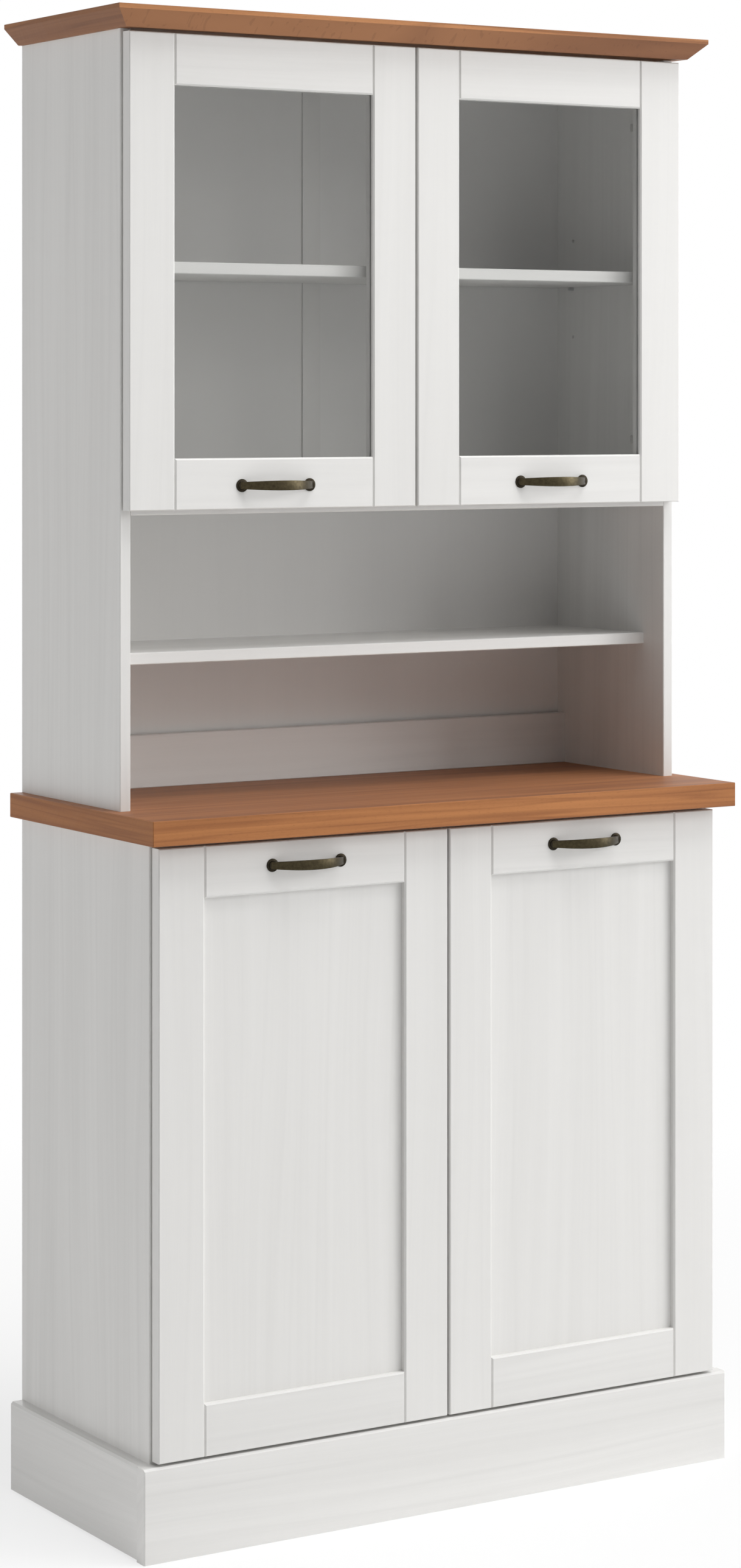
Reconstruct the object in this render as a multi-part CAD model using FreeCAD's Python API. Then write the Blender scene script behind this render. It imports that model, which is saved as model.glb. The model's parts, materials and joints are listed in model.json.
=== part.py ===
import FreeCAD, Part
import math
import os

# Buffet cabinet with a glazed hutch, in millimetres.
# X runs to the viewer's right, Y from the front to the back, Z up.
# The origin is on the floor, in the middle of the width and of the whole depth.

Vector = FreeCAD.Vector
X_AXIS = Vector(1, 0, 0)
Y_AXIS = Vector(0, 1, 0)
Z_AXIS = Vector(0, 0, 1)

# One overrun for every cut, the air in fits that do not move, and how closely an
# edge has to match the place or the direction it is looked for at.
CUT_OVERRUN = 5.0
FIT_CLEARANCE = 0.1
PLACE_MATCH = 0.05
DIRECTION_MATCH = 1e-6

# Round things that repeat are many-sided bars, which keeps the whole model light.
# Only the hinges' pins are true cylinders, because the doors turn on them.
SMALL_ROUND_SIDES = 12
LARGE_ROUND_SIDES = 20
NOSE_SPANS = 4
BOW_SPANS = 4
STRAP_SPANS = 12

# Carcass boards
CARCASS_WIDTH = 908.0
BOARD_T = 16.0
BOARD_ARRIS = 1.0
BASE_DEPTH = 373.0
BASE_SIDE_LENGTH = 935.0
HUTCH_DEPTH = 291.5
HUTCH_SIDE_LENGTH = 1040.5
GLIDE_T = 3.0
GLIDE_D = 22.0
GLIDE_EDGE_INSET = 40.0

# Worktop and cornice, the two cherry boards
WORKTOP_T = 33.5
WORKTOP_SIDE_OVERHANG = 18.5
WORKTOP_FRONT_OVERHANG = 24.5
WORKTOP_ARRIS = 0.8
CORNICE_T = 28.0
CORNICE_LIP = 6.3
CORNICE_SIDE_OVERHANG = 27.7
CORNICE_FRONT_OVERHANG = 29.7

# Plinth boards, screwed to the front and the sides of the base
PLINTH_H = 125.0
PLINTH_FRONT_T = 21.0
PLINTH_SIDE_T = 18.5
PLINTH_CHAMFER = 3.0
PLINTH_CORNER_R = 2.0
PLINTH_BACK_INSET = 2.5

# Rails and shelves inside
BASE_RAIL_W = 80.0
BASE_SHELF_RISE = 389.0
BASE_SHELF_SETBACK = 25.0
BACK_RAIL_H = 74.5
BACK_RAIL_GAP = 3.6
OPEN_SHELF_RISE = 190.2
OPEN_SHELF_SETBACK = 49.0
HUTCH_FLOOR_RISE = 393.0
GLAZED_SHELF_RISE = 307.5
GLAZED_SHELF_SETBACK = 8.5
SHELF_END_CLEARANCE = 1.0

# Thin back sheets in grooves, joined by an H strip behind the glazed doors
BACK_T = 3.0
BACK_INSET = 18.3
BACK_TONGUE = 6.0
GROOVE_DEPTH = 6.5
STRIP_W = 30.0
STRIP_FLANGE_T = 1.5
STRIP_WEB_T = 1.4
STRIP_OFFSET = 2.5

# Shelf pins and their rows of holes
PIN_D = 4.8
PIN_HOLE_D = 5.0
PIN_IN_BOARD = 8.0
PIN_OUT = 8.0
PIN_HOLE_DEPTH = 9.0
PIN_PITCH = 72.0
PIN_HOLES_EACH_WAY = 1
PIN_FRONT_INSET = 37.0
PIN_REAR_INSET = 62.0

# Doors: five-piece frames with a pane or a thin panel in a groove
DOOR_T = 19.0
DOOR_AIR = 2.0
DOOR_SIDE_INSET = 3.0
DOOR_MIDDLE_GAP = 4.0
FRAME_W = 69.0
LOWER_DOOR_CLEARANCE = 4.0
LOWER_DOOR_TOP_GAP = 6.0
UPPER_DOOR_BOTTOM_INSET = 6.5
UPPER_DOOR_TOP_GAP = 4.5
FRAME_CHAMFER = 2.2
DOOR_FRONT_ARRIS = 1.3
DOOR_BACK_ARRIS = 0.8
FRAME_GROOVE_DEPTH = 8.0
TENON_LENGTH = 7.7
GLASS_T = 4.0
GLASS_RECESS = 6.2
GLASS_EDGE_IN = 7.5
PANEL_T = 5.0
PANEL_RECESS = 9.0
PANEL_EDGE_IN = 7.5

# Clear bumpers between the doors and the front edges behind them
BUMPER_D = 8.0
BUMPER_T = 1.8
BUMPER_FROM_EDGE = 30.0

# Bow handles
HANDLE_SPAN = 106.0
HANDLE_PROJECTION = 26.0
HANDLE_EDGE_INSET = 32.0
STRAP_T = 3.0
STRAP_H_MIDDLE = 13.4
STRAP_H_END = 9.2
STRAP_FOOT_OUT = 3.5
ROSETTE_D = 17.8
ROSETTE_RIM_T = 1.4
ROSETTE_RIM_STEP = 2.6
ROSETTE_T = 3.0

# Concealed hinges. Places are measured inward from the door's hinged edge
# (across) and backward from the door's back face (behind).
HINGE_FROM_DOOR_END = 90.0
CUP_BORE_D = 35.0
CUP_BORE_DEPTH = 11.5
CUP_EDGE_DISTANCE = 3.0
CUP_WALL = 0.9
CUP_FLANGE_T = 1.0
CUP_FLANGE_W = 37.0
CUP_FLANGE_L = 60.0
CUP_FLANGE_END_W = 14.0
CUP_FLANGE_SHOULDER = 14.0
CUP_EAR_R = 2.8
ARM_PIVOT_ACROSS = 23.3
ARM_PIVOT_BEHIND = -4.6
CUP_PIVOT_ACROSS = 9.0
CUP_PIVOT_BEHIND = -6.0
PIVOT_PIN_D = 3.0
PIVOT_CLEARANCE = 0.05
LINK_W = 8.0
LINK_EYE_R = 2.7
LINK_BAR_T = 2.4
LINK_BOW = 3.4
EAR_GAP = 0.3
EAR_T = 1.5
ARM_NOSE_R = 3.0
ARM_WAIST_BEHIND = 6.0
ARM_SHOULDER_BEHIND = 10.0
ARM_TAIL_BEHIND = 64.0
ARM_TOP_ACROSS = 27.0
ARM_LIFT = 3.0
PLATE_T = 1.6
PLATE_START_BEHIND = 24.0
PLATE_LENGTH = 34.0
PLATE_WING_L = 48.0
PLATE_WING_W = 14.0
PLATE_WING_CHAMFER = 4.0
PLATE_RIDGE_GAP = 0.1

# Levels and planes worked out from the sizes above
HALF_WIDTH = CARCASS_WIDTH / 2
INNER_HALF = HALF_WIDTH - BOARD_T
TOTAL_DEPTH = HANDLE_PROJECTION + DOOR_T + DOOR_AIR + BASE_DEPTH
Y_REAR = TOTAL_DEPTH / 2
Y_BASE_FRONT = Y_REAR - BASE_DEPTH
Y_HUTCH_FRONT = Y_REAR - HUTCH_DEPTH
Y_BACK_FACE = Y_REAR - BACK_INSET - BACK_T
Y_LOWER_DOOR_BACK = Y_BASE_FRONT - DOOR_AIR
Y_UPPER_DOOR_BACK = Y_HUTCH_FRONT - DOOR_AIR
Z_WORKTOP_BOTTOM = GLIDE_T + BASE_SIDE_LENGTH
Z_WORKTOP_TOP = Z_WORKTOP_BOTTOM + WORKTOP_T
Z_CORNICE_BOTTOM = Z_WORKTOP_TOP + HUTCH_SIDE_LENGTH
Z_BASE_FLOOR_TOP = PLINTH_H + BOARD_T
Z_BASE_SHELF = Z_BASE_FLOOR_TOP + BASE_SHELF_RISE
Z_OPEN_SHELF = Z_WORKTOP_TOP + OPEN_SHELF_RISE
Z_HUTCH_FLOOR = Z_WORKTOP_TOP + HUTCH_FLOOR_RISE
Z_HUTCH_FLOOR_TOP = Z_HUTCH_FLOOR + BOARD_T
Z_GLAZED_SHELF = Z_HUTCH_FLOOR_TOP + GLAZED_SHELF_RISE
DOOR_EDGE_X = HALF_WIDTH - DOOR_SIDE_INSET
DOOR_W = DOOR_EDGE_X - DOOR_MIDDLE_GAP / 2
Z_LOWER_DOOR = PLINTH_H + LOWER_DOOR_CLEARANCE
LOWER_DOOR_H = Z_WORKTOP_BOTTOM - LOWER_DOOR_TOP_GAP - Z_LOWER_DOOR
Z_UPPER_DOOR = Z_HUTCH_FLOOR + UPPER_DOOR_BOTTOM_INSET
UPPER_DOOR_H = Z_CORNICE_BOTTOM - UPPER_DOOR_TOP_GAP - Z_UPPER_DOOR
EAR_INNER = LINK_W / 2 + EAR_GAP
EAR_OUTER = EAR_INNER + EAR_T
CUP_ACROSS = CUP_EDGE_DISTANCE + CUP_BORE_D / 2
BOARD_FACE_ACROSS = BOARD_T - DOOR_SIDE_INSET


def block(x0, x1, y0, y1, z0, z1):
    """Box between two corners."""
    return Part.makeBox(x1 - x0, y1 - y0, z1 - z0, Vector(x0, y0, z0))


def along(edge, direction):
    """Whether a straight edge runs along a direction."""
    first = edge.Vertexes[0].Point
    last = edge.Vertexes[-1].Point
    run = last.sub(first)
    return run.Length > 0 and abs(abs(run.normalize().dot(direction)) - 1) < DIRECTION_MATCH


def edges_where(shape, direction, **places):
    """Straight edges along a direction whose middle lies at the given x, y or z."""
    found = []
    for edge in shape.Edges:
        if len(edge.Vertexes) < 2 or not along(edge, direction):
            continue
        middle = edge.CenterOfMass
        values = {"x": middle.x, "y": middle.y, "z": middle.z}
        if all(abs(values[name] - place) < PLACE_MATCH for name, place in places.items()):
            found.append(edge)
    return found


def profile_prism(points, thickness_vector):
    """Prism on a closed outline of points."""
    wire = Part.makePolygon(points + [points[0]])
    return Part.Face(wire).extrude(thickness_vector)


def round_bar(start, direction, length, radius, sides):
    """Many-sided bar whose corners lie on the radius."""
    turn = FreeCAD.Rotation(Z_AXIS, direction)
    ring = []
    for side in range(sides):
        angle = 2 * math.pi * side / sides
        ring.append(start + turn.multVec(Vector(radius * math.cos(angle), radius * math.sin(angle), 0)))
    return profile_prism(ring, direction * length)


def round_bore(start, direction, length, radius, sides):
    """Cutter for a many-sided bore whose flats lie on the radius."""
    return round_bar(start, direction, length, radius / math.cos(math.pi / sides), sides)


def side_grooves(x_sign, z0, z1):
    """Cutter for the groove that holds a back sheet in a side board."""
    x_inner = x_sign * INNER_HALF
    x_deep = x_sign * (INNER_HALF + GROOVE_DEPTH)
    return block(min(x_inner, x_deep), max(x_inner, x_deep), Y_BACK_FACE,
                 Y_BACK_FACE + BACK_T + FIT_CLEARANCE, z0, z1)


def pin_rows(y_front):
    """Places in Y of the front and rear rows of pin holes."""
    return [y_front + PIN_FRONT_INSET, Y_REAR - PIN_REAR_INSET]


def pin_holes(x_sign, y_front, z_shelf):
    """Cutters for the blind holes in one side board, two rows of them."""
    holes = []
    x_mouth = x_sign * INNER_HALF
    z_pin = z_shelf - PIN_D / 2
    for y in pin_rows(y_front):
        for step in range(-PIN_HOLES_EACH_WAY, PIN_HOLES_EACH_WAY + 1):
            mouth = Vector(x_mouth, y, z_pin + step * PIN_PITCH)
            holes.append(round_bore(mouth, X_AXIS * x_sign, PIN_HOLE_DEPTH, PIN_HOLE_D / 2,
                                    SMALL_ROUND_SIDES))
    return holes


def side_board(x_sign, y_front, z0, length, z_shelf):
    """Upright side board with its back groove, pin holes and eased front edges."""
    x_inner = x_sign * INNER_HALF
    x_outer = x_sign * HALF_WIDTH
    board = block(min(x_inner, x_outer), max(x_inner, x_outer), y_front, Y_REAR, z0, z0 + length)
    board = board.makeChamfer(BOARD_ARRIS, edges_where(board, Z_AXIS, y=y_front))
    cutters = [side_grooves(x_sign, z0, z0 + length)]
    cutters += pin_holes(x_sign, y_front, z_shelf)
    return board.cut(cutters)


def cross_board(y_front, z0, y_rear=Y_BACK_FACE, end_clearance=0.0, height=BOARD_T):
    """Board between the two sides, with eased front edges."""
    half = INNER_HALF - end_clearance
    board = block(-half, half, y_front, y_rear, z0, z0 + height)
    return board.makeChamfer(BOARD_ARRIS, edges_where(board, X_AXIS, y=y_front))


def back_sheet(x0, x1, z0, z1):
    """Thin back sheet in the plane of the grooves."""
    return block(x0, x1, Y_BACK_FACE, Y_BACK_FACE + BACK_T, z0, z1)


def plinth_front():
    """Front plinth board: it covers the ends of the side boards."""
    y_front = Y_BASE_FRONT - PLINTH_FRONT_T
    half = HALF_WIDTH + PLINTH_SIDE_T
    board = block(-half, half, y_front, Y_BASE_FRONT, 0, PLINTH_H)
    board = board.makeChamfer(PLINTH_CHAMFER, edges_where(board, X_AXIS, y=y_front, z=PLINTH_H))
    corners = edges_where(board, Z_AXIS, y=y_front)
    return board.makeFillet(PLINTH_CORNER_R, corners)


def plinth_side(x_sign):
    """Side plinth board, held clear of the floor by the glides' height."""
    x_in = x_sign * HALF_WIDTH
    x_out = x_sign * (HALF_WIDTH + PLINTH_SIDE_T)
    board = block(min(x_in, x_out), max(x_in, x_out), Y_BASE_FRONT, Y_REAR - PLINTH_BACK_INSET,
                  GLIDE_T, PLINTH_H)
    return board.makeChamfer(PLINTH_CHAMFER, edges_where(board, Y_AXIS, x=x_out, z=PLINTH_H))


def plinth_rear_rail():
    """Upright rail between the sides, under the rear of the base floor."""
    return block(-INNER_HALF, INNER_HALF, Y_BACK_FACE - BOARD_T, Y_BACK_FACE, GLIDE_T, PLINTH_H)


def floor_glides():
    """Nail-on glides under the side boards and the rear rail."""
    places = []
    for x_sign in (-1, 1):
        for y in (Y_BASE_FRONT + GLIDE_EDGE_INSET, Y_REAR - GLIDE_EDGE_INSET):
            places.append((x_sign * (HALF_WIDTH - BOARD_T / 2), y))
    return Part.makeCompound([round_bar(Vector(x, y, 0), Z_AXIS, GLIDE_T, GLIDE_D / 2,
                                        LARGE_ROUND_SIDES) for x, y in places])


def worktop():
    """Thick worktop that overhangs the base on three sides."""
    half = HALF_WIDTH + WORKTOP_SIDE_OVERHANG
    y_front = Y_LOWER_DOOR_BACK - DOOR_T - WORKTOP_FRONT_OVERHANG
    board = block(-half, half, y_front, Y_REAR, Z_WORKTOP_BOTTOM, Z_WORKTOP_TOP)
    edges = edges_where(board, X_AXIS, y=y_front)
    for x in (-half, half):
        edges += edges_where(board, Y_AXIS, x=x)
        edges += edges_where(board, Z_AXIS, x=x, y=y_front)
    return board.makeChamfer(WORKTOP_ARRIS, edges)


def cornice_board():
    """Top board with a small lip and a bevel that falls back on three sides."""
    bevel = CORNICE_T - CORNICE_LIP
    z_top = Z_CORNICE_BOTTOM + CORNICE_T
    z_lip = z_top - CORNICE_LIP
    half = HALF_WIDTH + CORNICE_SIDE_OVERHANG
    y_front = Y_UPPER_DOOR_BACK - DOOR_T - CORNICE_FRONT_OVERHANG
    slab = block(-half, half, y_front, Y_REAR, Z_CORNICE_BOTTOM, z_top)
    front_wedge = profile_prism([Vector(-half - CUT_OVERRUN, y_front, z_lip),
                                 Vector(-half - CUT_OVERRUN, y_front, Z_CORNICE_BOTTOM),
                                 Vector(-half - CUT_OVERRUN, y_front + bevel, Z_CORNICE_BOTTOM)],
                                X_AXIS * (2 * half + 2 * CUT_OVERRUN))
    wedges = [front_wedge]
    for x_sign in (-1, 1):
        wedges.append(profile_prism([Vector(x_sign * half, y_front - CUT_OVERRUN, z_lip),
                                     Vector(x_sign * half, y_front - CUT_OVERRUN, Z_CORNICE_BOTTOM),
                                     Vector(x_sign * (half - bevel), y_front - CUT_OVERRUN,
                                            Z_CORNICE_BOTTOM)],
                                    Y_AXIS * (Y_REAR - y_front + 2 * CUT_OVERRUN)))
    return slab.cut(wedges)


def back_joint_strip():
    """H strip that joins the two upper back sheets."""
    x0 = STRIP_OFFSET - STRIP_W / 2
    x1 = STRIP_OFFSET + STRIP_W / 2
    z0 = Z_HUTCH_FLOOR_TOP
    z1 = Z_CORNICE_BOTTOM
    front = block(x0, x1, Y_BACK_FACE - STRIP_FLANGE_T, Y_BACK_FACE, z0, z1)
    rear = block(x0, x1, Y_BACK_FACE + BACK_T, Y_BACK_FACE + BACK_T + STRIP_FLANGE_T, z0, z1)
    web = block(STRIP_OFFSET - STRIP_WEB_T / 2, STRIP_OFFSET + STRIP_WEB_T / 2,
                Y_BACK_FACE - STRIP_FLANGE_T / 2, Y_BACK_FACE + BACK_T + STRIP_FLANGE_T / 2, z0, z1)
    return front.fuse([web, rear]).removeSplitter()


def shelf_pins():
    """Steel pins under the two loose shelves."""
    pins = []
    for y_front, z_shelf in ((Y_BASE_FRONT, Z_BASE_SHELF), (Y_HUTCH_FRONT, Z_GLAZED_SHELF)):
        for x_sign in (-1, 1):
            for y in pin_rows(y_front):
                start = Vector(x_sign * (INNER_HALF + PIN_IN_BOARD), y, z_shelf - PIN_D / 2)
                pins.append(round_bar(start, X_AXIS * -x_sign, PIN_IN_BOARD + PIN_OUT, PIN_D / 2,
                                      SMALL_ROUND_SIDES))
    return Part.makeCompound(pins)


def door_bumpers():
    """Clear discs on the front edges that the doors close against."""
    places = []
    z_hutch = (Z_UPPER_DOOR + Z_HUTCH_FLOOR_TOP) / 2
    z_floor = (Z_LOWER_DOOR + Z_BASE_FLOOR_TOP) / 2
    z_rail = (Z_WORKTOP_BOTTOM - BOARD_T + Z_LOWER_DOOR + LOWER_DOOR_H) / 2
    for x_sign in (-1, 1):
        x = x_sign * (DOOR_MIDDLE_GAP / 2 + BUMPER_FROM_EDGE)
        places.append(Vector(x, Y_HUTCH_FRONT, z_hutch))
        places.append(Vector(x, Y_BASE_FRONT, z_floor))
        places.append(Vector(x, Y_BASE_FRONT, z_rail))
    return Part.makeCompound([round_bar(place, Y_AXIS * -1, BUMPER_T, BUMPER_D / 2,
                                        SMALL_ROUND_SIDES) for place in places])


def frame_outline(recess, slot, place):
    """Section of a frame piece, from its outer edge (across = 0) to its grooved edge.

    The front edge at the groove is chamfered, and the groove holds the pane or panel.
    place turns a pair of across and depth into a point.
    """
    groove = FRAME_W - FRAME_GROOVE_DEPTH
    pairs = [(0, 0), (FRAME_W - FRAME_CHAMFER, 0), (FRAME_W, FRAME_CHAMFER), (FRAME_W, recess),
             (groove, recess), (groove, recess + slot), (FRAME_W, recess + slot), (FRAME_W, DOOR_T),
             (0, DOOR_T)]
    return [place(across, depth) for across, depth in pairs]


def stile(height, recess, slot, bores):
    """Upright frame piece, full door height, with the cup bores where it is hinged."""
    outline = frame_outline(recess, slot, lambda across, depth: Vector(across, depth, 0))
    piece = profile_prism(outline, Z_AXIS * height)
    piece = piece.makeChamfer(DOOR_BACK_ARRIS, edges_where(piece, Z_AXIS, x=0, y=DOOR_T))
    front = edges_where(piece, Z_AXIS, x=0, y=0)
    for z in (0, height):
        front += edges_where(piece, X_AXIS, y=0, z=z)
    piece = piece.makeChamfer(DOOR_FRONT_ARRIS, front)
    if bores:
        cutters = []
        for z in hinge_heights(height):
            mouth = Vector(CUP_ACROSS, DOOR_T, z)
            cutters.append(round_bore(mouth, Y_AXIS * -1, CUP_BORE_DEPTH, CUP_BORE_D / 2,
                                      LARGE_ROUND_SIDES))
        piece = piece.cut(cutters)
    return piece


def rail(recess, slot):
    """Lower rail of a frame, with stub tenons that fill the stiles' grooves."""
    length = DOOR_W - 2 * FRAME_W
    outline = frame_outline(recess, slot, lambda across, depth: Vector(0, depth, across))
    piece = profile_prism(outline, X_AXIS * length)
    piece = piece.makeChamfer(DOOR_FRONT_ARRIS, edges_where(piece, X_AXIS, y=0, z=0))
    wedges = []
    for x_end, inward in ((0, 1), (length, -1)):
        outer = Vector(x_end - inward * CUT_OVERRUN, 0, -CUT_OVERRUN)
        corners = [outer + Y_AXIS * -CUT_OVERRUN,
                   outer + X_AXIS * (inward * (2 * CUT_OVERRUN + FRAME_CHAMFER)) + Y_AXIS * -CUT_OVERRUN,
                   outer + Y_AXIS * (CUT_OVERRUN + FRAME_CHAMFER)]
        wedges.append(profile_prism(corners, Z_AXIS * (FRAME_W + 2 * CUT_OVERRUN)))
    piece = piece.cut(wedges)
    tenon_h = FRAME_W - FRAME_GROOVE_DEPTH
    tenons = []
    for x0, x1 in ((-TENON_LENGTH, CUT_OVERRUN), (length - CUT_OVERRUN, length + TENON_LENGTH)):
        tenons.append(block(x0, x1, recess + FIT_CLEARANCE, recess + slot, 0, tenon_h))
    return piece.fuse(tenons).removeSplitter()


def hinge_heights(height):
    """Heights of a door's two hinges above its lower edge."""
    return [HINGE_FROM_DOOR_END, height - HINGE_FROM_DOOR_END]


def strap():
    """Bent strap of the handle, widest in its middle, lofted through upright sections.

    Its outer and inner faces are arcs about one centre that end on the rosettes' faces.
    """
    half_out = HANDLE_SPAN / 2 + STRAP_FOOT_OUT
    rise = HANDLE_PROJECTION - ROSETTE_T
    r_out = (half_out ** 2 + rise ** 2) / (2 * rise)
    r_in = r_out - STRAP_T
    y_centre = r_out - HANDLE_PROJECTION
    faces = ((r_out, math.asin(half_out / r_out)), (r_in, math.acos((y_centre + ROSETTE_T) / r_in)))
    sections = []
    for step in range(STRAP_SPANS + 1):
        share = 2 * step / STRAP_SPANS - 1
        above, below = [], []
        for radius, half_turn in faces:
            x = radius * math.sin(share * half_turn)
            y = y_centre - radius * math.cos(share * half_turn)
            half_h = (STRAP_H_MIDDLE - (STRAP_H_MIDDLE - STRAP_H_END) * (x / half_out) ** 2) / 2
            above.append(Vector(x, y, half_h))
            below.append(Vector(x, y, -half_h))
        sections.append(Part.makePolygon([above[0], above[1], below[1], below[0], above[0]]))
    return Part.makeLoft(sections, True, True)


def rosette(x):
    """Round foot of a handle: a flat rim with a thicker middle."""
    foot = Vector(x, 0, 0)
    rim = round_bar(foot, Y_AXIS * -1, ROSETTE_RIM_T, ROSETTE_D / 2, LARGE_ROUND_SIDES)
    middle = round_bar(foot, Y_AXIS * -1, ROSETTE_T, ROSETTE_D / 2 - ROSETTE_RIM_STEP,
                       LARGE_ROUND_SIDES)
    return rim.fuse(middle)


def handle():
    """Bow handle: the strap on its two rosettes, with the door's front face at y = 0."""
    rosettes = [rosette(x) for x in (-HANDLE_SPAN / 2, HANDLE_SPAN / 2)]
    return strap().fuse(rosettes).removeSplitter()


def nose(centre_u, centre_v, radius):
    """Half-round end about a pivot, from its left side over the front to its right side."""
    points = []
    for span in range(NOSE_SPANS + 1):
        angle = math.pi * span / NOSE_SPANS
        points.append((centre_u - radius * math.cos(angle), centre_v - radius * math.sin(angle)))
    return points


def plate_between(outline, z0, z1):
    """Flat plate on an outline in the hinge's own plan."""
    return profile_prism([Vector(u, v, z0) for u, v in outline], Z_AXIS * (z1 - z0))


def ear_pair(outline):
    """The same plate on both sides of the link."""
    return [plate_between(outline, EAR_INNER, EAR_OUTER), plate_between(outline, -EAR_OUTER, -EAR_INNER)]


def pivot_pin(u, v):
    """Round pin across the hinge's two ears."""
    return Part.makeCylinder(PIVOT_PIN_D / 2, 2 * EAR_OUTER, Vector(u, v, -EAR_OUTER))


def cup_flange():
    """Flat flange of the cup, full width beside the cup and narrow at its two screw ends."""
    half_w = CUP_FLANGE_W / 2
    half_end = CUP_FLANGE_END_W / 2
    quarter = [(half_w, CUP_FLANGE_SHOULDER / 2), (half_end, CUP_FLANGE_L / 2)]
    outline = quarter + [(-u, z) for u, z in reversed(quarter)]
    outline += [(-u, -z) for u, z in quarter] + [(u, -z) for u, z in reversed(quarter)]
    return profile_prism([Vector(CUP_ACROSS + u, 0, z) for u, z in outline], Y_AXIS * CUP_FLANGE_T)


def hinge_cup():
    """Pressed cup with its flange, two ears inside and the pin that carries the link."""
    mouth = Vector(CUP_ACROSS, 0, 0)
    radius = CUP_BORE_D / 2 - FIT_CLEARANCE
    depth = CUP_BORE_DEPTH - FIT_CLEARANCE
    body = round_bar(mouth, Y_AXIS * -1, depth, radius, LARGE_ROUND_SIDES)
    hollow = round_bar(Vector(CUP_ACROSS, CUP_FLANGE_T + CUT_OVERRUN, 0), Y_AXIS * -1,
                       depth - CUP_WALL + CUP_FLANGE_T + CUT_OVERRUN, radius - CUP_WALL,
                       LARGE_ROUND_SIDES)
    shell = body.fuse(cup_flange()).cut(hollow)
    v_floor = CUP_WALL / 2 - depth
    front = nose(CUP_PIVOT_ACROSS, -CUP_PIVOT_BEHIND, CUP_EAR_R)
    outline = [(u, -v) for u, v in front]
    outline += [(CUP_PIVOT_ACROSS + CUP_EAR_R, v_floor), (CUP_PIVOT_ACROSS - CUP_EAR_R, v_floor)]
    pin = pivot_pin(CUP_PIVOT_ACROSS, CUP_PIVOT_BEHIND)
    return shell.fuse(ear_pair(outline) + [pin]).removeSplitter()


def hinge_link():
    """Bowed link with an eye at each end, so that it passes round the cup's rim."""
    a = Vector(ARM_PIVOT_ACROSS, ARM_PIVOT_BEHIND, -LINK_W / 2)
    b = Vector(CUP_PIVOT_ACROSS, CUP_PIVOT_BEHIND, -LINK_W / 2)
    span = a.sub(b)
    side = Vector(span.y, -span.x, 0).normalize()
    outer, inner = [], []
    for step in range(BOW_SPANS + 1):
        share = step / BOW_SPANS
        middle = b + span * share + side * (LINK_BOW * 4 * share * (1 - share))
        outer.append(middle + side * (LINK_BAR_T / 2))
        inner.append(middle - side * (LINK_BAR_T / 2))
    bar = profile_prism(outer + inner[::-1], Z_AXIS * LINK_W)
    eyes = [round_bar(place, Z_AXIS, LINK_W, LINK_EYE_R, SMALL_ROUND_SIDES) for place in (a, b)]
    holes = [round_bore(place, Z_AXIS, LINK_W, PIVOT_PIN_D / 2 + PIVOT_CLEARANCE, SMALL_ROUND_SIDES)
             for place in (a, b)]
    return bar.fuse(eyes).cut(holes).removeSplitter()


def hinge_arm():
    """Channel arm on the side board, whose two nose ears hold the link's inner pin."""
    u_low = BOARD_FACE_ACROSS + ARM_LIFT
    outline = nose(ARM_PIVOT_ACROSS, ARM_PIVOT_BEHIND, ARM_NOSE_R)
    outline += [(ARM_TOP_ACROSS, ARM_SHOULDER_BEHIND), (ARM_TOP_ACROSS, ARM_TAIL_BEHIND),
                (u_low, ARM_TAIL_BEHIND), (u_low, ARM_SHOULDER_BEHIND),
                (ARM_PIVOT_ACROSS - ARM_NOSE_R, ARM_WAIST_BEHIND)]
    cheeks = ear_pair(outline)
    web = block(ARM_TOP_ACROSS - EAR_T, ARM_TOP_ACROSS, ARM_SHOULDER_BEHIND, ARM_TAIL_BEHIND,
                -EAR_OUTER, EAR_OUTER)
    pin = pivot_pin(ARM_PIVOT_ACROSS, ARM_PIVOT_BEHIND)
    return cheeks[0].fuse([cheeks[1], web, pin]).removeSplitter()


def hinge_plate():
    """Mounting plate on the side board: a cross-shaped foot and the ridge under the arm."""
    u0 = BOARD_FACE_ACROSS
    v0 = PLATE_START_BEHIND
    v1 = PLATE_START_BEHIND + PLATE_LENGTH
    v_middle = (v0 + v1) / 2
    half_ridge = EAR_INNER - PLATE_RIDGE_GAP
    wing = block(u0, u0 + PLATE_T, v_middle - PLATE_WING_W / 2, v_middle + PLATE_WING_W / 2,
                 -PLATE_WING_L / 2, PLATE_WING_L / 2)
    wing = wing.makeChamfer(PLATE_WING_CHAMFER, edges_where(wing, X_AXIS))
    ridge = block(u0, ARM_TOP_ACROSS - EAR_T, v0, v1, -half_ridge, half_ridge)
    return ridge.fuse(wing).removeSplitter()


def placed_hinges(piece_maker, y_door_back, z_door, height):
    """Two copies of a hinge piece for the left door of a pair."""
    pieces = []
    for z in hinge_heights(height):
        piece = piece_maker()
        piece.translate(Vector(-DOOR_EDGE_X, y_door_back, z_door + z))
        pieces.append(piece)
    return pieces


def mirrored(shape):
    """The right-hand twin of a left-hand shape."""
    return shape.mirror(Vector(0, 0, 0), X_AXIS)


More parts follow.
